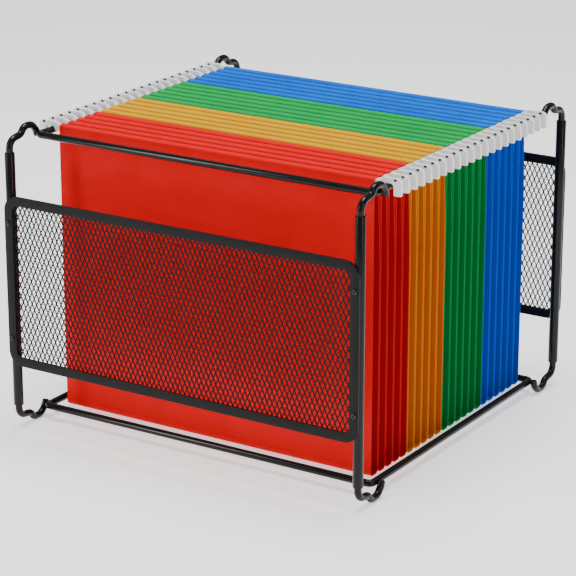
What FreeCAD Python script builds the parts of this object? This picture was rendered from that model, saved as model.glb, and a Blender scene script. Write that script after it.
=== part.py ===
import FreeCAD, Part

import math
import os

import Sketcher

# Wire hanging-file box: four tube posts, two wire rings, eight bent wire loops,
# a mesh panel at the front and at the back, and a row of hanging folders whose
# hooks ride on the side rails of the top ring.
# Frame: X to the right, Y to the back, Z up, origin on the floor under the middle.

doc = FreeCAD.newDocument("hanging_file_box")
Vector = FreeCAD.Vector

SIZES = [
    # posts: plain tubes, open at both ends
    ("post_x", 164.7, "post axis from the middle, sideways"),
    ("post_y", 165.9, "post axis from the middle, front to back"),
    ("post_foot", 20.5, "height of the lower end of a post"),
    ("post_length", 217.1, "length of a post"),
    ("tube_od", 8.4, "outside diameter of the post tube"),
    ("plug_play", 0.1, "play around a loop's plug, all round"),
    # rings and loops: one solid wire
    ("wire_dia", 6.0, "diameter of the wire"),
    ("ring_y", 136.0, "front and rear rail from the middle"),
    ("ring_lift", 9.4, "rail axis beyond the end of the posts"),
    ("ring_bend", 4.2, "bend radius of a ring's corners"),
    ("plug_depth", 18.0, "how far a loop plugs into its post"),
    ("loop_rise", 17.5, "top of a loop's centreline beyond the post"),
    ("tip_round", 1.2, "rounding of a loop's free end"),
    # panels: a flat frame with a mesh sheet behind it
    ("strip_over", 3.0, "panel frame's edge outside the post axis"),
    ("strip_width", 8.0, "width of the frame's strip"),
    ("strip_thick", 2.0, "thickness of the frame"),
    ("strip_low", 57.4, "height of the frame's lower edge"),
    ("strip_high", 203.4, "height of the frame's upper edge"),
    ("strip_round", 13.0, "outer corner radius of the frame"),
    ("mesh_thick", 1.0, "thickness of the mesh sheet"),
    ("mesh_lap", 1.7, "overlap of the mesh sheet behind the strip"),
    ("mesh_columns", 12, "whole gaps across the sheet"),
    ("mesh_rows", 5, "whole gaps up the sheet"),
    ("strand", 2.2, "width of a mesh strand"),
    # screws that hold each panel to its posts
    ("screw_inset", 3.6, "screw axis from the frame's side edge"),
    ("screw_end", 23.5, "screw axis from the frame's lower or upper edge"),
    ("head_dia", 4.5, "diameter of the screw head"),
    ("head_height", 1.4, "height of the screw head"),
    ("head_round", 0.9, "rounding of the screw head"),
    ("shank_dia", 2.6, "diameter of the screw shank"),
    ("shank_length", 5.5, "length of the screw shank"),
    ("screw_play", 0.15, "play around the shank, all round"),
    # folders: one bent card with a sleeve along each top edge
    ("folders", 22, "number of folders in the row"),
    ("row_front", -120.0, "front face of the first folder"),
    ("row_pitch", 11.45, "distance from one folder to the next"),
    ("card_half", 149.2, "half of the card's width"),
    ("card_low", 9.0, "height of the card's lower edge"),
    ("card_high", 253.0, "height of the card's upper edge"),
    ("card_deep", 10.4, "folder from front face to rear face"),
    ("card_thick", 0.8, "thickness of the card"),
    ("card_round", 3.0, "outer radius of the bottom folds"),
    ("sleeve_deep", 3.45, "thickness of a sleeve"),
    ("sleeve_tall", 13.0, "height of a sleeve"),
    ("sleeve_round", 2.0, "rounding of a sleeve's outer upper edge"),
    ("sleeve_bore", 0.8, "the same rounding inside the sleeve"),
    ("sleeve_edge", 0.5, "rounding of a sleeve's edge at the other sleeve"),
    ("sleeve_neck", 2.5, "height of the slope below a sleeve"),
    ("close_gap", 0.15, "gap between a folder's two sleeves, and its two hooks"),
    ("close_slope", 60.0, "height over which the rear panel leans in"),
    # hangers: flat bars in the sleeves, each with a thin hook at both ends
    ("bar_thick", 1.2, "thickness of a hanger bar"),
    ("bar_play", 0.15, "gap between the bar and the sleeve's inner wall"),
    ("bar_drop", 1.1, "top of the bar below the top of the card"),
    ("bar_tall", 4.6, "height of the bar"),
    ("bar_lap", 5.2, "how far the bar runs out of the sleeve into the hook"),
    ("hook_thick", 1.25, "thickness of a hook"),
    ("hook_clear", 0.3, "gap between the hook and the end of the card"),
    ("hook_play", 0.35, "gap between the hook's arch and the rail"),
    ("hook_round", 3.0, "rounding of the arch's two upper corners"),
    ("hook_inside", 6.2, "inner edge of the hook's leg from the rail axis"),
    ("hook_reach", 12.6, "outer edge of the hook from the rail axis"),
    ("hook_top", 7.6, "top of the hook above the rail axis"),
    ("hook_low", 6.0, "lower end of the hook below the rail axis"),
    ("hook_shoulder", 4.5, "rounding of the hook's outer shoulder"),
    ("hook_tip", 0.8, "rounding at the lower end of the hook"),
    ("arm_level", 2.5, "where the hook's level top ends, inside the rail"),
    ("arm_top", 5.3, "top of the arm at the card, above the rail axis"),
    ("eye_wide", 2.4, "length of the small eye in the hook"),
    ("eye_tall", 1.3, "height of the eye"),
    ("eye_round", 0.6, "rounding of the eye's ends"),
    ("eye_x", 7.5, "eye from the rail axis, outward"),
    ("eye_z", 6.2, "eye above the rail axis"),
]

sheet = doc.addObject("Spreadsheet::Sheet", "Sizes")


class Size:
    """A length together with the formula that gives it from the sheet."""

    def __init__(self, value, text):
        self.value = value
        self.text = text

    def __add__(self, other):
        other = as_size(other)
        return Size(self.value + other.value, "(%s + %s)" % (self.text, other.text))

    def __sub__(self, other):
        other = as_size(other)
        return Size(self.value - other.value, "(%s - %s)" % (self.text, other.text))

    def __mul__(self, other):
        other = as_size(other)
        return Size(self.value * other.value, "(%s * %s)" % (self.text, other.text))

    def __truediv__(self, other):
        other = as_size(other)
        return Size(self.value / other.value, "(%s / %s)" % (self.text, other.text))

    def __neg__(self):
        return Size(-self.value, "(0 - %s)" % self.text)


def as_size(number):
    if isinstance(number, Size):
        return number
    if number < 0:
        return Size(float(number), "(0 - %s)" % repr(abs(number)))
    return Size(float(number), repr(number))


S = {}
for row, (alias, value, meaning) in enumerate(SIZES, start=1):
    sheet.set("A%d" % row, meaning)
    sheet.set("B%d" % row, str(value))
    sheet.setAlias("B%d" % row, alias)
    S[alias] = Size(float(value), "Sizes.%s" % alias)
doc.recompute()

wire_radius = S["wire_dia"] / 2
tube_radius = S["tube_od"] / 2
bore_radius = wire_radius + S["plug_play"]
post_top = S["post_foot"] + S["post_length"]
rail_x = S["post_x"] - S["wire_dia"]
rail_z = post_top + S["ring_lift"]
strip_back = S["post_y"] + tube_radius
strip_face = strip_back + S["strip_thick"]
strip_x = S["post_x"] + S["strip_over"]
screw_x = strip_x - S["screw_inset"]
screw_low = S["strip_low"] + S["screw_end"]
screw_high = S["strip_high"] - S["screw_end"]


def bind(obj, prop, size):
    obj.setExpression(prop, as_size(size).text)


def origin_plane(body, role):
    return next(item for item in body.Origin.OriginFeatures if item.Role == role)


def new_body(label):
    body = doc.addObject("PartDesign::Body", label)
    body.Label = label
    return body


def new_sketch(body, name, role):
    sketch = body.newObject("Sketcher::SketchObject", name)
    sketch.AttachmentSupport = (origin_plane(body, role), [""])
    sketch.MapMode = "FlatFace"
    return sketch


def fix_point(sketch, geometry, end, across, up):
    """Pin one point of the sketch at a place given by two sizes."""
    for kind, size in (("DistanceX", as_size(across)), ("DistanceY", as_size(up))):
        number = sketch.addConstraint(
            Sketcher.Constraint(kind, geometry, end, size.value))
        sketch.setExpression("Constraints[%d]" % number, size.text)


def rounded_run(sketch, corners, closed=True):
    """Straight lines from corner to corner, with an arc in each rounded corner.

    A corner is (across, up) or (across, up, radius).
    """
    count = len(corners)
    spots = []
    for index, corner in enumerate(corners):
        here = Vector(as_size(corner[0]).value, as_size(corner[1]).value, 0)
        radius = as_size(corner[2]) if len(corner) > 2 else None
        if radius is None or (not closed and index in (0, count - 1)):
            spots.append({"at": here, "enter": here, "leave": here, "radius": None})
            continue
        before = corners[index - 1]
        after = corners[(index + 1) % count]
        back = Vector(as_size(before[0]).value, as_size(before[1]).value, 0) - here
        ahead = Vector(as_size(after[0]).value, as_size(after[1]).value, 0) - here
        back.normalize()
        ahead.normalize()
        opening = back.getAngle(ahead)
        reach = radius.value / math.tan(opening / 2)
        middle = (back + ahead).normalize() * (radius.value / math.sin(opening / 2))
        spots.append({
            "at": here,
            "enter": here + back * reach,
            "leave": here + ahead * reach,
            "radius": radius,
            "centre": here + middle,
            "left": (-back).cross(ahead).z > 0,
        })
    lines = []
    for index in range(count if closed else count - 1):
        start = spots[index]["leave"]
        end = spots[(index + 1) % count]["enter"]
        lines.append(sketch.addGeometry(Part.LineSegment(start, end), False))
    for index, spot in enumerate(spots):
        corner = corners[index]
        if not closed and index == 0:
            fix_point(sketch, lines[0], 1, corner[0], corner[1])
            continue
        if not closed and index == count - 1:
            fix_point(sketch, lines[-1], 2, corner[0], corner[1])
            continue
        incoming = lines[index - 1]
        outgoing = lines[index]
        if spot["radius"] is None:
            sketch.addConstraint(
                Sketcher.Constraint("Coincident", incoming, 2, outgoing, 1))
            fix_point(sketch, outgoing, 1, corner[0], corner[1])
            continue
        angles = []
        for point in (spot["enter"], spot["leave"]):
            arm = point - spot["centre"]
            angles.append(math.atan2(arm.y, arm.x))
        if not spot["left"]:
            angles.reverse()
        if angles[1] < angles[0]:
            angles[1] += 2 * math.pi
        circle = Part.Circle(spot["centre"], Vector(0, 0, 1), spot["radius"].value)
        arc = sketch.addGeometry(Part.ArcOfCircle(circle, angles[0], angles[1]), False)
        apex = sketch.addGeometry(Part.Point(spot["at"]), True)
        first, last = (1, 2) if spot["left"] else (2, 1)
        sketch.addConstraint(Sketcher.Constraint("Tangent", incoming, 2, arc, first))
        sketch.addConstraint(Sketcher.Constraint("Tangent", arc, last, outgoing, 1))
        sketch.addConstraint(Sketcher.Constraint("PointOnObject", apex, 1, incoming))
        sketch.addConstraint(Sketcher.Constraint("PointOnObject", apex, 1, outgoing))
        fix_point(sketch, apex, 1, corner[0], corner[1])
        number = sketch.addConstraint(
            Sketcher.Constraint("Radius", arc, spot["radius"].value))
        sketch.setExpression("Constraints[%d]" % number, spot["radius"].text)


def circle_at(sketch, across, up, radius):
    """A circle whose centre and radius are given by sizes."""
    radius = as_size(radius)
    centre = Vector(as_size(across).value, as_size(up).value, 0)
    circle = sketch.addGeometry(
        Part.Circle(centre, Vector(0, 0, 1), radius.value), False)
    fix_point(sketch, circle, 3, across, up)
    number = sketch.addConstraint(Sketcher.Constraint("Radius", circle, radius.value))
    sketch.setExpression("Constraints[%d]" % number, radius.text)


def pad(body, name, sketch, length, side="One side", reverse=False):
    feature = body.newObject("PartDesign::Pad", name)
    feature.Profile = sketch
    feature.SideType = side
    feature.Reversed = reverse
    bind(feature, "Length", length)
    return feature


def repeat_body(body, steps):
    """Repeat everything made so far by the given mirrors or patterns."""
    repeat = body.newObject("PartDesign::MultiTransform", body.Name + "_repeat")
    repeat.TransformMode = "Whole shape"
    repeat.Transformations = steps
    body.Tip = repeat


def mirror_in(body, role):
    mirror = body.newObject("PartDesign::Mirrored", body.Name + "_mirror")
    mirror.MirrorPlane = (origin_plane(body, role), [""])
    return mirror


def row_along(body, role, length):
    """Two places in a row, the second one a given length along an axis."""
    row = body.newObject("PartDesign::LinearPattern", body.Name + "_row")
    row.Direction = (origin_plane(body, role), [""])
    bind(row, "Length", length)
    row.Occurrences = 2
    return row


pieces = []


def make_ring(label, height):
    """A closed rectangle of wire with bent corners."""
    body = new_body(label)
    spine = new_sketch(body, label + "_path", "XY_Plane")
    bend = S["ring_bend"]
    rounded_run(spine, [
        (rail_x, -S["ring_y"], bend), (rail_x, S["ring_y"], bend),
        (-rail_x, S["ring_y"], bend), (-rail_x, -S["ring_y"], bend)])
    wire = new_sketch(body, label + "_wire", "XZ_Plane")
    circle_at(wire, rail_x, 0, wire_radius)
    sweep = body.newObject("PartDesign::AdditivePipe", label + "_sweep")
    sweep.Profile = wire
    sweep.Spine = spine
    bind(body, "Placement.Base.z", height)
    pieces.append(body)


def make_post(label, side, depth):
    """A tube with two cross holes in the wall that faces its panel."""
    body = new_body(label)
    rings = new_sketch(body, label + "_section", "XY_Plane")
    circle_at(rings, 0, 0, tube_radius)
    circle_at(rings, 0, 0, bore_radius)
    pad(body, label + "_tube", rings, S["post_length"])
    holes = new_sketch(body, label + "_holes", "XZ_Plane")
    offset = (screw_x - S["post_x"]) * side
    for height in (screw_low, screw_high):
        circle_at(holes, offset, height - S["post_foot"],
                  S["shank_dia"] / 2 + S["screw_play"])
    cut = body.newObject("PartDesign::Pocket", label + "_cut")
    cut.Profile = holes
    cut.Reversed = depth < 0
    bind(cut, "Length", S["tube_od"])
    bind(body, "Placement.Base.x", S["post_x"] * side)
    bind(body, "Placement.Base.y", S["post_y"] * depth)
    bind(body, "Placement.Base.z", S["post_foot"])
    pieces.append(body)


# Centreline of a loop after it leaves its post: (inward, beyond the post, bend).
LOOP_PATH = [
    (0.0, 9.9, 8.0), (14.8, 12.0, 6.0), (19.2, None, 7.0), (28.8, None, 9.0),
    (34.4, 12.2, 6.0), (36.4, 6.8, 0.0)]


def make_loops(label, height, way):
    """Four bent wires that plug into the posts and curl inward over the ring."""
    body = new_body(label)
    path = new_sketch(body, label + "_path", "YZ_Plane")
    corners = [(-S["post_y"], -S["plug_depth"] * way)]
    for inward, beyond, bend in LOOP_PATH:
        level = S["loop_rise"] if beyond is None else as_size(beyond)
        corners.append((-S["post_y"] + inward, level * way, bend))
    rounded_run(path, corners, closed=False)
    bind(path, "AttachmentOffset.Base.z", S["post_x"])
    wire = new_sketch(body, label + "_wire", "XY_Plane")
    circle_at(wire, S["post_x"], -S["post_y"], wire_radius)
    bind(wire, "AttachmentOffset.Base.z", -S["plug_depth"] * way)
    sweep = body.newObject("PartDesign::AdditivePipe", label + "_sweep")
    sweep.Profile = wire
    sweep.Spine = path
    doc.recompute()
    tip = Vector(S["post_x"].value, -S["post_y"].value + 36.4, 6.8 * way)
    edges = ["Edge%d" % (index + 1) for index, edge in enumerate(sweep.Shape.Edges)
             if edge.Closed and (edge.BoundBox.Center - tip).Length < 1.0]
    fillet = body.newObject("PartDesign::Fillet", label + "_tip")
    fillet.Base = (sweep, edges)
    bind(fillet, "Radius", S["tip_round"])
    doc.recompute()
    mirrors = [mirror_in(body, role) for role in ("YZ_Plane", "XZ_Plane")]
    repeat_body(body, mirrors)
    bind(body, "Placement.Base.z", height)
    pieces.append(body)


def make_strip(label, depth):
    """The flat rounded frame of a panel, with four screw holes."""
    body = new_body(label)
    outline = new_sketch(body, label + "_outline", "XZ_Plane")
    for inset in (as_size(0), S["strip_width"]):
        x = strip_x - inset
        low = S["strip_low"] + inset
        high = S["strip_high"] - inset
        bend = S["strip_round"] - inset
        rounded_run(outline, [
            (x, low, bend), (x, high, bend), (-x, high, bend), (-x, low, bend)])
    for x in (screw_x, -screw_x):
        for z in (screw_low, screw_high):
            circle_at(outline, x, z, S["shank_dia"] / 2 + S["screw_play"])
    pad(body, label + "_plate", outline, S["strip_thick"], reverse=depth > 0)
    bind(body, "Placement.Base.y", strip_back * depth)
    pieces.append(body)


def make_mesh(label, depth):
    """A net of slanting strands: one sheet with staggered diamond gaps."""
    half = strip_x.value - S["strip_width"].value
    low = S["strip_low"].value + S["strip_width"].value
    high = S["strip_high"].value - S["strip_width"].value
    lap = S["mesh_lap"].value
    columns = int(S["mesh_columns"].value)
    rows = int(S["mesh_rows"].value)
    step_x = 2 * half / columns
    step_z = (high - low) / rows
    slant = math.hypot(step_x, step_z)
    keep = S["strand"].value / 2 * slant
    open_x = step_x / 2 - keep / step_z
    open_z = step_z / 2 - keep / step_x
    corner = lap + half
    rim = [(-corner, low - lap), (corner, low - lap), (corner, high + lap),
           (-corner, high + lap)]

    def wire(points):
        spots = [Vector(x, 0, z) for x, z in points]
        return Part.makePolygon(spots + spots[:1])

    gaps = []
    for i in range(2 * columns + 1):
        for j in range(2 * rows + 1):
            if (i + j) % 2 == 0:
                continue
            x = -half + i * step_x / 2
            z = low + j * step_z / 2
            points = [(x - open_x, z), (x, z - open_z), (x + open_x, z), (x, z + open_z)]
            points = [p for p in points if abs(p[0]) <= half and low <= p[1] <= high]
            gaps.append(wire(points))
    face = Part.makeFace([wire(rim)] + gaps, "Part::FaceMakerBullseye")
    inner = strip_back.value * depth
    sheet_shape = face.extrude(Vector(0, -S["mesh_thick"].value * depth, 0))
    net = doc.addObject("Part::Feature", label)
    net.Label = label
    net.Shape = sheet_shape
    net.Placement = FreeCAD.Placement(Vector(0, inner, 0), FreeCAD.Rotation())
    pieces.append(net)


def make_screws(label, depth):
    """Four pan-head screws through the panel frame into the posts."""
    body = new_body(label)
    rim = new_sketch(body, label + "_rim", "XZ_Plane")
    circle_at(rim, -screw_x, screw_low, S["head_dia"] / 2)
    head = pad(body, label + "_head", rim, S["head_height"], reverse=depth > 0)
    doc.recompute()
    edges = ["Edge%d" % (index + 1) for index, edge in enumerate(head.Shape.Edges)
             if edge.Closed and abs(edge.CenterOfMass.y) > S["head_height"].value / 2]
    dome = body.newObject("PartDesign::Fillet", label + "_dome")
    dome.Base = (head, edges)
    bind(dome, "Radius", S["head_round"])
    stem = new_sketch(body, label + "_stem", "XZ_Plane")
    circle_at(stem, -screw_x, screw_low, S["shank_dia"] / 2)
    pad(body, label + "_shank", stem, S["shank_length"], reverse=depth < 0)
    doc.recompute()
    rows = [row_along(body, "X_Axis", screw_x * 2),
            row_along(body, "Z_Axis", screw_high - screw_low)]
    repeat_body(body, rows)
    bind(body, "Placement.Base.y", strip_face * depth)
    pieces.append(body)


def put_in_row(body, number):
    """Stand a card or its hangers at one place in the row of folders."""
    start = S["row_front"] + S["row_pitch"] * number
    bind(body, "Placement.Base.y", start + S["sleeve_deep"] + S["close_gap"] / 2)
    pieces.append(body)


def copy_body(source, label, number):
    """One more piece of the same shape, further back in the row."""
    body = new_body(label)
    same = body.newObject("PartDesign::FeatureBase", label + "_same")
    same.BaseFeature = source
    body.Tip = same
    put_in_row(body, number)


def make_card(label):
    """One folder: a U of card, open at both ends, that closes at the top.

    A sleeve runs along each top edge, and the two sleeves lie side by side.
    """
    body = new_body(label)
    outline = new_sketch(body, label + "_outline", "YZ_Plane")
    front = -(S["sleeve_deep"] + S["close_gap"] / 2)
    skin = S["card_thick"]
    low = S["card_low"]
    high = S["card_high"]
    deep = front + S["card_deep"]
    sleeve = S["sleeve_deep"]
    back = -front
    cuff = high - S["sleeve_tall"]
    neck = cuff - S["sleeve_neck"]
    knee = cuff - S["close_slope"]
    fold = S["card_round"]
    peak = S["sleeve_round"]
    edge = S["sleeve_edge"]
    rounded_run(outline, [
        (front, low, fold), (deep, low, fold), (deep, knee), (back, cuff),
        (back, high, peak), (back - sleeve, high, edge), (back - sleeve, cuff),
        (back - skin, cuff), (deep - skin, knee),
        (deep - skin, low + skin, fold - skin),
        (front + skin, low + skin, fold - skin), (front + skin, neck),
        (front + sleeve, cuff), (front + sleeve, high, edge), (front, high, peak)])
    bore = S["sleeve_bore"]
    rounded_run(outline, [
        (front + skin, cuff + skin), (front + sleeve - skin, cuff + skin),
        (front + sleeve - skin, high - skin), (front + skin, high - skin, bore)])
    rounded_run(outline, [
        (back - sleeve + skin, cuff + skin), (back - skin, cuff + skin),
        (back - skin, high - skin, bore), (back - sleeve + skin, high - skin)])
    pad(body, label + "_panel", outline, S["card_half"] * 2, side="Symmetric")
    put_in_row(body, 0)
    return body


def make_hangers(label):
    """Two flat bars, each with a thin hook at both ends that sits over a side rail.

    The hooks lie against each other, nearer the folder's middle than the bars.
    """
    body = new_body(label)
    bar_top = S["card_high"] - S["bar_drop"]
    bar_low = bar_top - S["bar_tall"]
    bar_end = S["card_half"] + S["bar_lap"]
    bar_outline = new_sketch(body, label + "_bar_outline", "XZ_Plane")
    rounded_run(bar_outline, [
        (-bar_end, bar_low), (bar_end, bar_low), (bar_end, bar_top),
        (-bar_end, bar_top)])
    bind(bar_outline, "AttachmentOffset.Base.z",
         S["close_gap"] / 2 + S["card_thick"] + S["bar_play"])
    pad(body, label + "_bar", bar_outline, S["bar_thick"])

    arch = wire_radius + S["hook_play"]
    root = S["card_half"] + S["hook_clear"]
    leg = rail_x + S["hook_inside"]
    reach = rail_x + S["hook_reach"]
    crown = rail_z + S["hook_top"]
    foot = rail_z - S["hook_low"]
    tip = S["hook_tip"]
    eye_x = rail_x + S["eye_x"]
    eye_z = rail_z + S["eye_z"]
    half_wide = S["eye_wide"] / 2
    half_tall = S["eye_tall"] / 2
    end = S["eye_round"]
    right = [
        (root, bar_low), (rail_x - arch, bar_low),
        (rail_x - arch, rail_z + arch, S["hook_round"]),
        (leg, rail_z + arch, S["hook_round"]), (leg, foot, tip), (reach, foot, tip),
        (reach, crown, S["hook_shoulder"]), (rail_x - S["arm_level"], crown),
        (root, rail_z + S["arm_top"])]
    eye = [
        (eye_x - half_wide, eye_z - half_tall, end),
        (eye_x + half_wide, eye_z - half_tall, end),
        (eye_x + half_wide, eye_z + half_tall, end),
        (eye_x - half_wide, eye_z + half_tall, end)]
    hook_outline = new_sketch(body, label + "_hook_outline", "XZ_Plane")
    for run in (right, eye):
        rounded_run(hook_outline, run)
        rounded_run(hook_outline, [(-spot[0],) + spot[1:] for spot in reversed(run)])
    bind(hook_outline, "AttachmentOffset.Base.z", S["close_gap"] / 2)
    pad(body, label + "_hook", hook_outline, S["hook_thick"])
    doc.recompute()
    repeat_body(body, [mirror_in(body, "XZ_Plane")])
    put_in_row(body, 0)
    return body


make_ring("top_ring", rail_z)
make_ring("bottom_ring", S["post_foot"] - S["ring_lift"])
for depth, end in ((-1, "front"), (1, "rear")):
    for side, hand in ((-1, "left"), (1, "right")):
        make_post("post_%s_%s" % (end, hand), side, depth)
make_loops("top_loops", post_top, 1)
make_loops("foot_loops", S["post_foot"], -1)
for depth, end in ((-1, "front"), (1, "rear")):
    make_strip("%s_panel_frame" % end, depth)
    make_mesh("%s_panel_mesh" % end, depth)
    make_screws("%s_panel_screws" % end, depth)
first_card = make_card("folder_01_card")
first_hangers = make_hangers("folder_01_hangers")
doc.recompute()
for number in range(1, int(S["folders"].value)):
    copy_body(first_card, "folder_%02d_card" % (number + 1), number)
    copy_body(first_hangers, "folder_%02d_hangers" % (number + 1), number)

doc.recompute()

for obj in doc.Objects:
    if "Invalid" in obj.State or "Error" in obj.State:
        raise RuntimeError("%s did not recompute: %s" % (obj.Name, obj.State))
for piece in pieces:
    if piece.Shape.isNull() or not piece.Shape.isValid():
        raise RuntimeError("%s has no valid shape" % piece.Label)

os.makedirs("parts", exist_ok=True)
for piece in pieces:
    piece.Shape.exportStep("parts/%s.step" % piece.Label)
    print(piece.Label, len(piece.Shape.Solids), round(piece.Shape.Volume, 1))
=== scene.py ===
import math

import bpy
from mathutils import Matrix, Vector


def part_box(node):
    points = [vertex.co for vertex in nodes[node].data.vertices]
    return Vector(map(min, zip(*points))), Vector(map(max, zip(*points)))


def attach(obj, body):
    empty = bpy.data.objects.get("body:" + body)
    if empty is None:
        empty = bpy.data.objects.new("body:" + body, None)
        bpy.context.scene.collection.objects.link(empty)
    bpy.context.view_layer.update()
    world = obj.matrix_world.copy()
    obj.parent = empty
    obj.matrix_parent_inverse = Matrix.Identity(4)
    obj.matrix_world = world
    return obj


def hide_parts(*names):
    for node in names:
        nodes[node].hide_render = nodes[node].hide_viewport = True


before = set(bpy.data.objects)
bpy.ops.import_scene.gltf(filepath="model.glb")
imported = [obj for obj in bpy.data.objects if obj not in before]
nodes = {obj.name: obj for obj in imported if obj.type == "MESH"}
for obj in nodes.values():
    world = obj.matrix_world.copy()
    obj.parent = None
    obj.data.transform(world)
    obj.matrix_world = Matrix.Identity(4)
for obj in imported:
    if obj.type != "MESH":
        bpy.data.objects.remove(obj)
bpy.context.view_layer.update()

# The view: the box stands on a plain white table and is seen from its front right
# corner, a little from above, with a long lens, so its uprights stay nearly parallel.
view_turn = math.radians(32.41)
view_tilt = math.radians(18.43)
view_back = Vector((math.sin(view_turn) * math.cos(view_tilt),
                    -math.cos(view_turn) * math.cos(view_tilt),
                    math.sin(view_tilt)))
view_target = Vector((-0.0041, 0.0, 0.1046))
view_distance = 2.0725
bpy.ops.object.camera_add(location=view_target + view_back * view_distance)
camera = bpy.context.object
camera.name = "Camera"
camera.rotation_mode = "QUATERNION"
camera.rotation_quaternion = (-view_back).to_track_quat("-Z", "Y")
camera.data.sensor_width = 36.0
camera.data.lens = 153.4
camera.data.clip_end = 50.0
bpy.context.scene.camera = camera

# The table: one wide white sheet, matt, with no edge in sight, which takes the
# soft grey contact shadow under the lower ring and the feet.
bpy.ops.mesh.primitive_plane_add(size=24.0, location=(0, 0, 0))
table_top = bpy.context.object
table_top.name = "table_top"
white = bpy.data.materials.new("table_white")
white.use_nodes = True
white_shader = white.node_tree.nodes["Principled BSDF"]
white_shader.inputs["Base Color"].default_value = (0.92, 0.92, 0.92, 1)
white_shader.inputs["Roughness"].default_value = 0.7
white_shader.inputs["Specular IOR Level"].default_value = 0.2
white_shader.inputs["Emission Color"].default_value = (1, 1, 1, 1)
white_shader.inputs["Emission Strength"].default_value = 0.8
table_top.data.materials.append(white)

# The light: a white room, a large softbox above and in front, and one on each
# side, which draw the two pale streaks along every tube and wire.
room = bpy.data.worlds.new("white_room")
bpy.context.scene.world = room
room.use_nodes = True
room.node_tree.nodes["Background"].inputs["Color"].default_value = (1, 1, 1, 1)
room.node_tree.nodes["Background"].inputs["Strength"].default_value = 0.28


def softbox(name, place, target, size, power):
    bpy.ops.object.light_add(type="AREA", location=place)
    lamp = bpy.context.object
    lamp.name = name
    lamp.data.shape = "RECTANGLE"
    lamp.data.size = size[0]
    lamp.data.size_y = size[1]
    lamp.data.energy = power
    aim = Vector(target) - Vector(place)
    lamp.rotation_mode = "QUATERNION"
    lamp.rotation_quaternion = aim.to_track_quat("-Z", "Y")


softbox("softbox_top", (0.0, 0.1, 2.2), (0, 0, 0.1), (1.2, 1.2), 58)
softbox("softbox_left", (-1.2, -1.7, 0.9), (0, 0, 0.13), (0.3, 1.4), 18)
softbox("softbox_right", (1.9, -0.5, 0.8), (0, 0, 0.13), (0.2, 1.3), 9)

# The two rings: 6 mm steel wire bent into rectangles, butt-welded, and powder coated
# gloss black together with the rest of the box. The upper one carries the folders.
wire_radius = 0.003
wire_sides = 24
ring_half_x = 0.1587
ring_half_y = 0.136
ring_bend = 0.0042
ring_heights = {"top_ring": 0.247, "bottom_ring": 0.0111}
coat_black = (0.005, 0.005, 0.005)


def powder_grain_group():
    """Orange-peel grain, patchy gloss and a little dust on what faces up."""
    group = bpy.data.node_groups.new("powder_grain", "ShaderNodeTree")
    made = group.interface.new_socket
    made("Colour", in_out="INPUT", socket_type="NodeSocketColor")
    made("Gloss", in_out="INPUT", socket_type="NodeSocketFloat")
    made("Grain scale", in_out="INPUT", socket_type="NodeSocketFloat")
    made("Grain depth", in_out="INPUT", socket_type="NodeSocketFloat")
    made("Dust", in_out="INPUT", socket_type="NodeSocketFloat")
    made("Colour", in_out="OUTPUT", socket_type="NodeSocketColor")
    made("Roughness", in_out="OUTPUT", socket_type="NodeSocketFloat")
    made("Normal", in_out="OUTPUT", socket_type="NodeSocketVector")
    node = group.nodes.new
    link = group.links.new
    given = node("NodeGroupInput")
    result = node("NodeGroupOutput")
    place = node("ShaderNodeTexCoord")
    grain = node("ShaderNodeTexNoise")
    grain.inputs["Detail"].default_value = 3.0
    link(place.outputs["Object"], grain.inputs["Vector"])
    link(given.outputs["Grain scale"], grain.inputs["Scale"])
    patches = node("ShaderNodeTexNoise")
    patches.inputs["Scale"].default_value = 55.0
    patches.inputs["Detail"].default_value = 4.0
    link(place.outputs["Object"], patches.inputs["Vector"])
    bump = node("ShaderNodeBump")
    bump.inputs["Distance"].default_value = 0.0001
    link(given.outputs["Grain depth"], bump.inputs["Strength"])
    link(grain.outputs["Fac"], bump.inputs["Height"])
    link(bump.outputs["Normal"], result.inputs["Normal"])
    gloss = node("ShaderNodeMath")
    gloss.operation = "MULTIPLY_ADD"
    gloss.inputs[1].default_value = 0.12
    link(patches.outputs["Fac"], gloss.inputs[0])
    link(given.outputs["Gloss"], gloss.inputs[2])
    link(gloss.outputs["Value"], result.inputs["Roughness"])
    facing = node("ShaderNodeNewGeometry")
    upward = node("ShaderNodeSeparateXYZ")
    link(facing.outputs["Normal"], upward.inputs["Vector"])
    settle = node("ShaderNodeMapRange")
    settle.inputs["From Min"].default_value = 0.55
    settle.inputs["From Max"].default_value = 1.0
    link(upward.outputs["Z"], settle.inputs["Value"])
    specks = node("ShaderNodeMath")
    specks.operation = "MULTIPLY"
    link(settle.outputs["Result"], specks.inputs[0])
    link(patches.outputs["Fac"], specks.inputs[1])
    amount = node("ShaderNodeMath")
    amount.operation = "MULTIPLY"
    link(specks.outputs["Value"], amount.inputs[0])
    link(given.outputs["Dust"], amount.inputs[1])
    mix = node("ShaderNodeMix")
    mix.data_type = "RGBA"
    link(amount.outputs["Value"], mix.inputs["Factor"])
    link(given.outputs["Colour"], mix.inputs["A"])
    mix.inputs["B"].default_value = (0.35, 0.34, 0.33, 1)
    link(mix.outputs["Result"], result.inputs["Colour"])
    return group


powder_grain = powder_grain_group()


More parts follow.
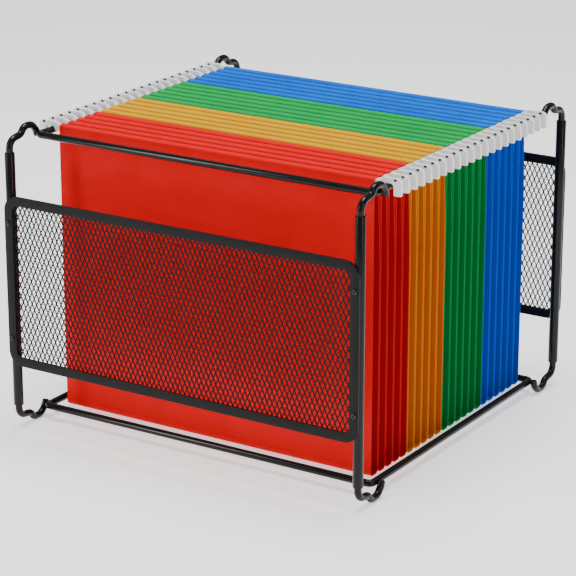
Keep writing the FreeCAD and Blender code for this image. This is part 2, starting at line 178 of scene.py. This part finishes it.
def powder_coat(name, colour, shine, gloss, grain_scale, grain_depth, dust):
    """A black powder coat: its own shader round the shared grain."""
    finish = bpy.data.materials.new(name)
    finish.use_nodes = True
    tree = finish.node_tree
    shader = tree.nodes["Principled BSDF"]
    shader.inputs["Specular IOR Level"].default_value = shine
    grain = tree.nodes.new("ShaderNodeGroup")
    grain.node_tree = powder_grain
    grain.inputs["Colour"].default_value = colour + (1,)
    grain.inputs["Gloss"].default_value = gloss
    grain.inputs["Grain scale"].default_value = grain_scale
    grain.inputs["Grain depth"].default_value = grain_depth
    grain.inputs["Dust"].default_value = dust
    tree.links.new(grain.outputs["Colour"], shader.inputs["Base Color"])
    tree.links.new(grain.outputs["Roughness"], shader.inputs["Roughness"])
    tree.links.new(grain.outputs["Normal"], shader.inputs["Normal"])
    return finish


wire_coat = powder_coat("gloss_black_wire", coat_black, shine=0.21, gloss=0.06,
                        grain_scale=900.0, grain_depth=0.15, dust=0.04)


def clear_choice():
    """Nothing selected, in the scene's object mode."""
    if bpy.context.mode != "OBJECT":
        bpy.ops.object.mode_set(mode="OBJECT")
    bpy.ops.object.select_all(action="DESELECT")


def begin(name):
    """Name the new primitive, fix its place in its mesh and open it for shaping."""
    piece = bpy.context.object
    piece.name = name
    piece.data.name = name
    bpy.ops.object.transform_apply(location=True, rotation=True, scale=True)
    bpy.ops.object.mode_set(mode="EDIT")
    bpy.ops.mesh.select_all(action="SELECT")
    return piece


def run_along(corners, steps):
    """Draw the selected section out along straight runs and round the corners.

    Each corner is a point with the bend's radius, or 0 at a plain end.
    """
    here = Vector(corners[0][0])
    for index in range(1, len(corners)):
        point = Vector(corners[index][0])
        radius = corners[index][1]
        ahead = (point - here).normalized()
        stop = point
        if radius:
            onward = (Vector(corners[index + 1][0]) - point).normalized()
            turn = ahead.angle(onward)
            stop = point - ahead * radius * math.tan(turn / 2)
        if (stop - here).length > 1e-6:
            bpy.ops.mesh.extrude_region_move(
                TRANSFORM_OT_translate={"value": tuple(stop - here)})
        here = stop
        if radius:
            axis = ahead.cross(onward).normalized()
            centre = here + axis.cross(ahead) * radius
            bpy.ops.mesh.spin(steps=max(2, round(steps * turn / (math.pi / 2))),
                              angle=-turn, center=tuple(centre), axis=tuple(axis))
            here = point + onward * radius * math.tan(turn / 2)


def close_up(piece, smooth=40.0):
    """Merge doubles, turn the faces outwards and shade the piece smooth."""
    bpy.ops.mesh.select_all(action="SELECT")
    bpy.ops.mesh.remove_doubles(threshold=0.00002)
    bpy.ops.mesh.normals_make_consistent(inside=False)
    bpy.ops.object.mode_set(mode="OBJECT")
    bpy.ops.object.shade_smooth_by_angle(angle=math.radians(smooth))


for node, height in ring_heights.items():
    clear_choice()
    bpy.ops.mesh.primitive_circle_add(
        vertices=wire_sides, radius=wire_radius, location=(0, -ring_half_y, height),
        rotation=(0, math.pi / 2, 0))
    ring = begin(node + "_wire")
    run_along([((0, -ring_half_y, height), 0),
               ((ring_half_x, -ring_half_y, height), ring_bend),
               ((ring_half_x, ring_half_y, height), ring_bend),
               ((-ring_half_x, ring_half_y, height), ring_bend),
               ((-ring_half_x, -ring_half_y, height), ring_bend),
               ((0, -ring_half_y, height), 0)], steps=8)
    close_up(ring)
    ring.data.materials.append(wire_coat)
    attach(ring, "box")
    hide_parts(node)

# The eight loops: short lengths of the same wire, pushed 18 mm into the ends of the
# posts, bent in over the ring like a goose's neck and welded to its corner.
loop_x = 0.1647
loop_y = 0.1659
post_foot = 0.0205
post_top = 0.2376
plug_depth = 0.018
loop_tip_round = 0.0012
# How far the wire's centreline is inward of the post and above it, and each bend.
loop_path = [(0.0, -plug_depth, 0), (0.0, 0.0099, 0.008), (0.0148, 0.012, 0.006),
             (0.0192, 0.0175, 0.007), (0.0288, 0.0175, 0.009),
             (0.0344, 0.0122, 0.006), (0.0364, 0.0068, 0)]


def copy_at(source, name, move):
    """A copy of a finished piece with its own mesh, moved to another place."""
    copy = source.copy()
    copy.data = source.data.copy()
    copy.name = name
    copy.data.name = name
    copy.data.transform(move)
    bpy.context.scene.collection.objects.link(copy)
    return copy


clear_choice()
bpy.ops.mesh.primitive_circle_add(
    vertices=wire_sides, radius=wire_radius, fill_type="NGON",
    location=(loop_x, -loop_y, post_top - plug_depth))
loop = begin("top_loop_front_right")
run_along([((loop_x, inward - loop_y, post_top + rise), bend)
           for inward, rise, bend in loop_path], steps=12)
bpy.ops.mesh.edge_face_add()
bpy.ops.mesh.bevel(offset=loop_tip_round, segments=3, profile=0.5)
close_up(loop)
loop.data.materials.append(wire_coat)
half_turn = Matrix.Rotation(math.pi, 4, "Z")
upside = (Matrix.Translation((0, 0, post_foot + post_top))
          @ Matrix.Rotation(math.pi, 4, "Y"))
across = Matrix.Translation((-2 * loop_x, 0, 0))
top_loops = [loop,
             copy_at(loop, "top_loop_front_left", across),
             copy_at(loop, "top_loop_rear_left", half_turn),
             copy_at(loop, "top_loop_rear_right", half_turn @ across)]
foot_loops = [copy_at(item, item.name.replace("top", "foot"), upside)
              for item in top_loops]
for item in top_loops + foot_loops:
    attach(item, "box")
    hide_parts("top_loops" if item in top_loops else "foot_loops")

# The four posts: plain steel tube of 8.4 mm with a thin wall, cut square and
# deburred, so a narrow bright rim shows where each loop goes in.
post_radius = 0.0042
post_wall = 0.0011
post_sides = 40
post_rim = 0.0003
for node in ("post_front_left", "post_front_right", "post_rear_left",
             "post_rear_right"):
    low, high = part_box(node)
    side = 1 if high.x > 0 else -1
    depth = 1 if high.y > 0 else -1
    clear_choice()
    bpy.ops.mesh.primitive_circle_add(
        vertices=post_sides, radius=post_radius,
        location=(side * loop_x, depth * loop_y, post_foot))
    post = begin(node + "_tube")
    run_along([((side * loop_x, depth * loop_y, post_foot), 0),
               ((side * loop_x, depth * loop_y, post_top), 0)], steps=8)
    close_up(post)
    wall = post.modifiers.new("wall", "SOLIDIFY")
    wall.thickness = post_wall
    wall.offset = -1
    bpy.ops.object.modifier_apply(modifier="wall")
    rim = post.modifiers.new("rim", "BEVEL")
    rim.width = post_rim
    rim.segments = 2
    rim.limit_method = "ANGLE"
    rim.angle_limit = math.radians(60)
    bpy.ops.object.modifier_apply(modifier="rim")
    bpy.ops.object.shade_smooth_by_angle(angle=math.radians(40))
    post.data.materials.append(wire_coat)
    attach(post, "box")
    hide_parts(node)

# The two panel frames: a 2 mm steel plate cut to a flat ring, 8 mm wide, with round
# corners and eased edges, screwed to the outside of the posts.
plate_half = 0.1677
plate_low = 0.0574
plate_high = 0.2034
plate_round = 0.013
plate_width = 0.008
plate_thick = 0.002
plate_ease = 0.0004
plate_back = loop_y + post_radius
plate_coat = powder_coat("satin_black_plate", (0.008, 0.008, 0.008), shine=0.12,
                         gloss=0.26, grain_scale=1400.0, grain_depth=0.35, dust=0.03)
for end, depth in (("front", -1), ("rear", 1)):
    clear_choice()
    bpy.ops.mesh.primitive_plane_add(size=1, rotation=(math.pi / 2, 0, 0))
    plate = bpy.context.object
    plate.scale = (2 * plate_half, plate_high - plate_low, 1)
    plate.location = (0, depth * (plate_back + plate_thick / 2),
                      (plate_high + plate_low) / 2)
    plate = begin(end + "_frame_plate")
    bpy.ops.mesh.bevel(offset=plate_round, segments=10, affect="VERTICES")
    bpy.ops.mesh.select_all(action="SELECT")
    bpy.ops.mesh.inset(thickness=plate_width, depth=0)
    bpy.ops.mesh.delete(type="FACE")
    close_up(plate)
    thick = plate.modifiers.new("thick", "SOLIDIFY")
    thick.thickness = plate_thick
    thick.offset = 0
    bpy.ops.object.modifier_apply(modifier="thick")
    ease = plate.modifiers.new("ease", "BEVEL")
    ease.width = plate_ease
    ease.segments = 3
    ease.limit_method = "ANGLE"
    ease.angle_limit = math.radians(50)
    bpy.ops.object.modifier_apply(modifier="ease")
    bpy.ops.object.shade_smooth_by_angle(angle=math.radians(50))
    plate.data.materials.append(plate_coat)
    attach(plate, "box")
    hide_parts(end + "_panel_frame")

# The mesh: thin steel sheet slit and stretched into slanting strands, with upright
# diamonds that repeat every 4.6 by 9.6 mm, spot-welded behind the plate's opening.
sheet_half = 0.1614
sheet_low = 0.0637
sheet_high = 0.1971
sheet_thick = 0.0006
gap_columns = 70
gap_rows = 27
strand_width = 0.00094
mesh_coat = powder_coat("black_mesh_coat", (0.006, 0.006, 0.006), shine=0.12,
                        gloss=0.34, grain_scale=1600.0, grain_depth=0.3, dust=0.02)
gap_step_x = 2 * (plate_half - plate_width) / gap_columns
gap_step_z = 2 * (plate_high - plate_low - 2 * plate_width) / gap_rows
for end, depth in (("front", -1), ("rear", 1)):
    clear_choice()
    middle = depth * (plate_back - sheet_thick / 2)
    bpy.ops.mesh.primitive_circle_add(
        vertices=4, radius=0.5, fill_type="NGON", rotation=(math.pi / 2, 0, 0))
    net = bpy.context.object
    net.scale = (gap_step_x, gap_step_z, 1)
    net = begin(end + "_mesh_net")
    bpy.ops.mesh.inset(thickness=strand_width / 2, depth=0)
    bpy.ops.mesh.delete(type="FACE")
    bpy.ops.object.mode_set(mode="OBJECT")
    net.data.transform(Matrix.Translation(
        (-plate_half + plate_width - gap_step_x / 2, middle,
         plate_low + plate_width - gap_step_z / 2)))
    second = net.modifiers.new("stagger", "ARRAY")
    second.count = 2
    second.use_relative_offset = False
    second.use_constant_offset = True
    second.constant_offset_displace = (gap_step_x / 2, 0, gap_step_z / 2)
    across_row = net.modifiers.new("columns", "ARRAY")
    across_row.count = gap_columns + 2
    across_row.use_relative_offset = False
    across_row.use_constant_offset = True
    across_row.constant_offset_displace = (gap_step_x, 0, 0)
    up_row = net.modifiers.new("rows", "ARRAY")
    up_row.count = gap_rows // 2 + 3
    up_row.use_relative_offset = False
    up_row.use_constant_offset = True
    up_row.constant_offset_displace = (0, 0, gap_step_z)
    for name in ("stagger", "columns", "rows"):
        bpy.ops.object.modifier_apply(modifier=name)
    bpy.ops.object.mode_set(mode="EDIT")
    for spot, facing in (((-sheet_half, 0, 0), (-1, 0, 0)),
                         ((sheet_half, 0, 0), (1, 0, 0)),
                         ((0, 0, sheet_low), (0, 0, -1)),
                         ((0, 0, sheet_high), (0, 0, 1))):
        bpy.ops.mesh.select_all(action="SELECT")
        bpy.ops.mesh.bisect(plane_co=spot, plane_no=facing, clear_outer=True)
    bpy.ops.mesh.select_all(action="SELECT")
    bpy.ops.mesh.delete_loose()
    close_up(net, 20.0)
    body = net.modifiers.new("body", "SOLIDIFY")
    body.thickness = sheet_thick
    body.offset = 0
    bpy.ops.object.modifier_apply(modifier="body")
    net.data.materials.append(mesh_coat)
    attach(net, "box")
    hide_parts(end + "_panel_mesh")

# The eight screws: small black pan heads with a cross recess, two at each post,
# through the plate and into the wall of the tube.
head_radius = 0.00225
head_height = 0.0014
head_round = 0.0009
recess_size = (0.0027, 0.0016, 0.0005)
recess_turn = 0.4
screw_x = 0.1641
screw_heights = (0.0809, 0.1799)
plate_face = plate_back + plate_thick
clear_choice()
bpy.ops.mesh.primitive_cylinder_add(
    vertices=32, radius=head_radius, depth=head_height,
    location=(screw_x, -plate_face - head_height / 2, screw_heights[0]),
    rotation=(math.pi / 2, 0, 0))
screw = begin("front_screw_low_right")
bpy.ops.mesh.select_all(action="DESELECT")
bpy.ops.object.mode_set(mode="OBJECT")
for face in screw.data.polygons:
    face.select = face.normal.y < -0.9
bpy.ops.object.mode_set(mode="EDIT")
bpy.ops.mesh.bevel(offset=head_round, segments=5, profile=0.55)
bpy.ops.mesh.select_all(action="SELECT")
close_up(screw, 50.0)
for turn in (0.0, math.pi / 2):
    clear_choice()
    bpy.ops.mesh.primitive_cube_add(
        size=1, location=(screw_x, -plate_face - head_height, screw_heights[0]),
        rotation=(0, turn + recess_turn, 0))
    slot_tool = bpy.context.object
    slot_tool.scale = recess_size
    bpy.ops.object.transform_apply(location=True, rotation=True, scale=True)
    bpy.context.view_layer.objects.active = screw
    cut = screw.modifiers.new("recess", "BOOLEAN")
    cut.operation = "DIFFERENCE"
    cut.solver = "EXACT"
    cut.object = slot_tool
    bpy.ops.object.modifier_apply(modifier="recess")
    bpy.data.objects.remove(slot_tool)
screw_coat = powder_coat("black_screw_coat", (0.008, 0.008, 0.008), shine=0.4,
                         gloss=0.2, grain_scale=2500.0, grain_depth=0.2, dust=0.02)
screw.data.materials.append(screw_coat)
screws = [screw]
raise_up = Matrix.Translation((0, 0, screw_heights[1] - screw_heights[0]))
to_left = Matrix.Translation((-2 * screw_x, 0, 0))
screws.append(copy_at(screw, "front_screw_high_right", raise_up))
screws.append(copy_at(screw, "front_screw_low_left", to_left))
screws.append(copy_at(screw, "front_screw_high_left", to_left @ raise_up))
for item in list(screws):
    screws.append(copy_at(item, item.name.replace("front", "rear"), half_turn))
for item in screws:
    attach(item, "box")
    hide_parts("front_panel_screws" if item.name.startswith("front")
                else "rear_panel_screws")

# The folders: one sheet of coloured card each, folded to a pocket with a flat foot
# and open ends. Its two upper edges are turned over and glued down as sleeves, and
# the rear panel leans in at the top, so the two sleeves stand together as one ridge.
folder_first = -0.120
folder_step = 0.01145
card_half = 0.1492
card_low = 0.009
card_high = 0.253
card_deep = 0.0104
card_thick = 0.0008
card_foot_bend = 0.003
card_knee = 0.180
card_knee_bend = 0.03
card_neck_bend = 0.01
sleeve_deep = 0.00345
sleeve_gap = 0.00015
sleeve_round = 0.0016
sleeve_edge = 0.00045
sleeve_end = 0.2400
glue_end = 0.2375
# Below this height the insides and cut ends of the folders take their third, darker
# colour, which is painted shade.
painted_shade_line = 0.2520
folder_colours = ["red"] * 5 + ["yellow"] * 5 + ["green"] * 6 + ["blue"] * 6
# Each colour has a light and a deep tone for the random mottle, and a darker third
# tone that is painted shade on the insides and cut ends.
card_colours = {
    "red": ((0.76, 0.0004, 0.008), (0.68, 0.0004, 0.006), (0.50, 0.0004, 0.005)),
    "yellow": ((0.70, 0.37, 0.001), (0.66, 0.31, 0.001), (0.62, 0.14, 0.001)),
    "green": ((0.001, 0.37, 0.08), (0.001, 0.31, 0.06), (0.001, 0.21, 0.044)),
    "blue": ((0.001, 0.15, 0.68), (0.001, 0.10, 0.60), (0.001, 0.07, 0.54)),
}


def card_fibre_and_shade_group():
    """Short fibres and a soft mottle, as in dyed folder card.

    The faces inside a folder and the cut edges at its ends take the third colour
    below a set height. This darker tone is painted shade.
    """
    group = bpy.data.node_groups.new("paper_fibre", "ShaderNodeTree")
    made = group.interface.new_socket
    made("Light", in_out="INPUT", socket_type="NodeSocketColor")
    made("Deep", in_out="INPUT", socket_type="NodeSocketColor")
    made("Inside", in_out="INPUT", socket_type="NodeSocketColor")
    made("Edge half", in_out="INPUT", socket_type="NodeSocketFloat")
    made("First folder", in_out="INPUT", socket_type="NodeSocketFloat")
    made("Folder step", in_out="INPUT", socket_type="NodeSocketFloat")
    made("Colour", in_out="OUTPUT", socket_type="NodeSocketColor")
    made("Roughness", in_out="OUTPUT", socket_type="NodeSocketFloat")
    made("Normal", in_out="OUTPUT", socket_type="NodeSocketVector")
    node = group.nodes.new
    link = group.links.new
    given = node("NodeGroupInput")
    result = node("NodeGroupOutput")
    place = node("ShaderNodeTexCoord")
    stretch = node("ShaderNodeMapping")
    stretch.inputs["Scale"].default_value = (500.0, 1400.0, 1400.0)
    link(place.outputs["Object"], stretch.inputs["Vector"])
    fibres = node("ShaderNodeTexNoise")
    fibres.inputs["Scale"].default_value = 1.0
    fibres.inputs["Detail"].default_value = 5.0
    fibres.inputs["Roughness"].default_value = 0.65
    link(stretch.outputs["Vector"], fibres.inputs["Vector"])
    mottle = node("ShaderNodeTexNoise")
    mottle.inputs["Scale"].default_value = 38.0
    mottle.inputs["Detail"].default_value = 5.0
    link(place.outputs["Object"], mottle.inputs["Vector"])
    blend = node("ShaderNodeMath")
    blend.operation = "MULTIPLY_ADD"
    blend.inputs[1].default_value = 0.5
    link(fibres.outputs["Fac"], blend.inputs[0])
    half = node("ShaderNodeMath")
    half.operation = "MULTIPLY"
    half.inputs[1].default_value = 0.5
    link(mottle.outputs["Fac"], half.inputs[0])
    link(half.outputs["Value"], blend.inputs[2])
    spread = node("ShaderNodeMapRange")
    spread.inputs["From Min"].default_value = 0.35
    spread.inputs["From Max"].default_value = 0.65
    link(blend.outputs["Value"], spread.inputs["Value"])
    tone = node("ShaderNodeMix")
    tone.data_type = "RGBA"
    link(spread.outputs["Result"], tone.inputs["Factor"])
    link(given.outputs["Light"], tone.inputs["A"])
    link(given.outputs["Deep"], tone.inputs["B"])
    apart = node("ShaderNodeSeparateXYZ")
    link(place.outputs["Object"], apart.inputs["Vector"])
    lean = node("ShaderNodeMapRange")
    lean.inputs["From Min"].default_value = card_knee
    lean.inputs["From Max"].default_value = sleeve_end
    lean.inputs["To Min"].default_value = card_deep - card_thick / 2
    lean.inputs["To Max"].default_value = (
        2 * sleeve_deep + sleeve_gap - card_thick / 2)
    link(apart.outputs["Z"], lean.inputs["Value"])

    def combine(operation, first, second):
        step = node("ShaderNodeMath")
        step.operation = operation
        for index, value in enumerate((first, second)):
            if isinstance(value, float):
                step.inputs[index].default_value = value
            else:
                link(value, step.inputs[index])
        return step.outputs["Value"]

    # Painted shade: the faces inside each pocket and the cut ends, below the set
    # height, get the darker third colour.
    depth = combine("SUBTRACT", apart.outputs["Y"], given.outputs["First folder"])
    own = combine("FLOORED_MODULO", depth, given.outputs["Folder step"])
    behind = combine("GREATER_THAN", own, card_thick / 2)
    before = combine("LESS_THAN", own, lean.outputs["Result"])
    away = combine("ABSOLUTE", apart.outputs["X"], 0.0)
    cut = combine("GREATER_THAN", away, given.outputs["Edge half"])
    in_painted_shade = combine("MAXIMUM", combine("MULTIPLY", behind, before), cut)
    below = combine("LESS_THAN", apart.outputs["Z"], painted_shade_line)
    painted_shade_mask = combine("MULTIPLY", in_painted_shade, below)
    painted_shade_mix = node("ShaderNodeMix")
    painted_shade_mix.data_type = "RGBA"
    link(painted_shade_mask, painted_shade_mix.inputs["Factor"])
    link(tone.outputs["Result"], painted_shade_mix.inputs["A"])
    link(given.outputs["Inside"], painted_shade_mix.inputs["B"])
    link(painted_shade_mix.outputs["Result"], result.inputs["Colour"])
    rough = node("ShaderNodeMapRange")
    rough.inputs["To Min"].default_value = 0.6
    rough.inputs["To Max"].default_value = 0.8
    link(fibres.outputs["Fac"], rough.inputs["Value"])
    link(rough.outputs["Result"], result.inputs["Roughness"])
    bump = node("ShaderNodeBump")
    bump.inputs["Strength"].default_value = 0.25
    bump.inputs["Distance"].default_value = 0.0001
    link(fibres.outputs["Fac"], bump.inputs["Height"])
    link(bump.outputs["Normal"], result.inputs["Normal"])
    return group


paper_fibre = card_fibre_and_shade_group()
card_stock = {}
for colour, (light, deep, inside) in card_colours.items():
    stock = bpy.data.materials.new(colour + "_card_stock")
    stock.use_nodes = True
    tree = stock.node_tree
    shader = tree.nodes["Principled BSDF"]
    shader.inputs["Specular IOR Level"].default_value = 0.05
    fibre_and_shade = tree.nodes.new("ShaderNodeGroup")
    fibre_and_shade.node_tree = paper_fibre
    fibre_and_shade.inputs["Light"].default_value = light + (1,)
    fibre_and_shade.inputs["Deep"].default_value = deep + (1,)
    # The third, darker colour is painted shade for the insides and cut ends.
    fibre_and_shade.inputs["Inside"].default_value = inside + (1,)
    fibre_and_shade.inputs["Edge half"].default_value = card_half - 0.0001
    fibre_and_shade.inputs["First folder"].default_value = folder_first
    fibre_and_shade.inputs["Folder step"].default_value = folder_step
    tree.links.new(fibre_and_shade.outputs["Colour"], shader.inputs["Base Color"])
    tree.links.new(fibre_and_shade.outputs["Roughness"], shader.inputs["Roughness"])
    tree.links.new(fibre_and_shade.outputs["Normal"], shader.inputs["Normal"])
    card_stock[colour] = stock


def fold_card(name):
    """Fold one card along its section, from one glued flap round to the other."""
    skin = card_thick / 2
    flap = sleeve_deep - skin
    high = card_high - skin
    start = high - 0.001
    low = card_low + skin
    foot_bend = card_foot_bend - skin
    rear = card_deep - skin
    back = 2 * sleeve_deep + sleeve_gap
    clear_choice()
    bpy.ops.mesh.primitive_plane_add(size=1, rotation=(math.pi / 2, 0, 0))
    card = bpy.context.object
    card.scale = (2 * card_half, start - sleeve_end, 1)
    card.location = (0, flap, (start + sleeve_end) / 2)
    card = begin(name)
    bpy.ops.object.mode_set(mode="OBJECT")
    for face in card.data.polygons:
        face.select = False
    for vertex in card.data.vertices:
        vertex.select = vertex.co.z > start - 1e-6
    for edge in card.data.edges:
        edge.select = all(card.data.vertices[v].select for v in edge.vertices)
    bpy.ops.object.mode_set(mode="EDIT")
    run_along([((0, flap, start), 0),
               ((0, flap, high), sleeve_edge),
               ((0, skin, high), sleeve_round),
               ((0, skin, low), foot_bend),
               ((0, rear, low), foot_bend),
               ((0, rear, card_knee), card_knee_bend),
               ((0, back - skin, sleeve_end), card_neck_bend),
               ((0, back - skin, high), sleeve_round),
               ((0, back - flap, high), sleeve_edge),
               ((0, back - flap, sleeve_end), 0),
               ((0, back - skin - card_thick, glue_end), 0)], steps=5)
    bpy.ops.object.mode_set(mode="OBJECT")
    for vertex in card.data.vertices:
        vertex.select = (abs(vertex.co.z - sleeve_end) < 1e-6
                         and vertex.co.y < flap + 1e-6)
    for edge in card.data.edges:
        edge.select = all(card.data.vertices[v].select for v in edge.vertices)
    bpy.ops.object.mode_set(mode="EDIT")
    bpy.ops.mesh.select_mode(type="EDGE")
    bpy.ops.mesh.extrude_region_move(
        TRANSFORM_OT_translate={"value": (0, skin * 3 - flap, glue_end - sleeve_end)})
    bpy.ops.mesh.select_mode(type="VERT")
    close_up(card, 35.0)
    board = card.modifiers.new("board", "SOLIDIFY")
    board.thickness = card_thick
    board.offset = 0
    bpy.ops.object.modifier_apply(modifier="board")
    bpy.ops.object.shade_smooth_by_angle(angle=math.radians(35))
    return card


pattern = fold_card("folder_pattern")
for index, colour in enumerate(folder_colours):
    body = "folder_%02d" % (index + 1)
    shift = Matrix.Translation((0, folder_first + folder_step * index, 0))
    card = copy_at(pattern, body + "_%s_card" % colour, shift)
    card.data.materials.append(card_stock[colour])
    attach(card, body)
    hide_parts(body + "_card")
bpy.data.objects.remove(pattern)

# The hangers: flat bars moulded in white plastic, one in each sleeve, so two stand
# side by side in every folder. The hooks at their ends have a small eye each and
# ride over the side rails.
# The eye's oval of painted shade: its centre, and how narrow it is across and up.
eye_centre = (0.1662, 0.0, 0.2532)
eye_narrowness = (640.0, 0.0, 950.0)
bar_white = bpy.data.materials.new("white_hanger_plastic")
bar_white.use_nodes = True
tree = bar_white.node_tree
shader = tree.nodes["Principled BSDF"]
shader.inputs["Specular IOR Level"].default_value = 0.45
shader.inputs["Subsurface Weight"].default_value = 0.08
shader.inputs["Subsurface Scale"].default_value = 0.001
place = tree.nodes.new("ShaderNodeTexCoord")
flow = tree.nodes.new("ShaderNodeTexNoise")
flow.inputs["Scale"].default_value = 260.0
flow.inputs["Detail"].default_value = 4.0
tree.links.new(place.outputs["Object"], flow.inputs["Vector"])
tint = tree.nodes.new("ShaderNodeMix")
tint.data_type = "RGBA"
tint.inputs["A"].default_value = (0.94, 0.94, 0.94, 1)
tint.inputs["B"].default_value = (0.98, 0.98, 0.98, 1)
tree.links.new(flow.outputs["Fac"], tint.inputs["Factor"])
# Painted shade: the colour goes nearly black over each eye and a thin ring round it,
# for the shade in the small hole.
mirrored = tree.nodes.new("ShaderNodeVectorMath")
mirrored.operation = "ABSOLUTE"
tree.links.new(place.outputs["Object"], mirrored.inputs[0])
from_eye = tree.nodes.new("ShaderNodeVectorMath")
from_eye.operation = "SUBTRACT"
from_eye.inputs[1].default_value = eye_centre
tree.links.new(mirrored.outputs["Vector"], from_eye.inputs[0])
oval = tree.nodes.new("ShaderNodeVectorMath")
oval.operation = "MULTIPLY"
oval.inputs[1].default_value = eye_narrowness
tree.links.new(from_eye.outputs["Vector"], oval.inputs[0])
away = tree.nodes.new("ShaderNodeVectorMath")
away.operation = "LENGTH"
tree.links.new(oval.outputs["Vector"], away.inputs[0])
eye_shade = tree.nodes.new("ShaderNodeMapRange")
eye_shade.inputs["From Min"].default_value = 0.85
eye_shade.inputs["From Max"].default_value = 1.1
eye_shade.inputs["To Min"].default_value = 1.0
eye_shade.inputs["To Max"].default_value = 0.0
tree.links.new(away.outputs["Value"], eye_shade.inputs["Value"])
shaded = tree.nodes.new("ShaderNodeMix")
shaded.data_type = "RGBA"
shaded.inputs["B"].default_value = (0.03, 0.03, 0.03, 1)
tree.links.new(eye_shade.outputs["Result"], shaded.inputs["Factor"])
tree.links.new(tint.outputs["Result"], shaded.inputs["A"])
tree.links.new(shaded.outputs["Result"], shader.inputs["Base Color"])
wear = tree.nodes.new("ShaderNodeMapRange")
wear.inputs["To Min"].default_value = 0.3
wear.inputs["To Max"].default_value = 0.5
tree.links.new(flow.outputs["Fac"], wear.inputs["Value"])
tree.links.new(wear.outputs["Result"], shader.inputs["Roughness"])
ripple = tree.nodes.new("ShaderNodeBump")
ripple.inputs["Strength"].default_value = 0.12
ripple.inputs["Distance"].default_value = 0.0001
tree.links.new(flow.outputs["Fac"], ripple.inputs["Height"])
tree.links.new(ripple.outputs["Normal"], shader.inputs["Normal"])
for index in range(len(folder_colours)):
    hangers = nodes["folder_%02d_hangers" % (index + 1)]
    hangers.data.materials.clear()
    hangers.data.materials.append(bar_white)
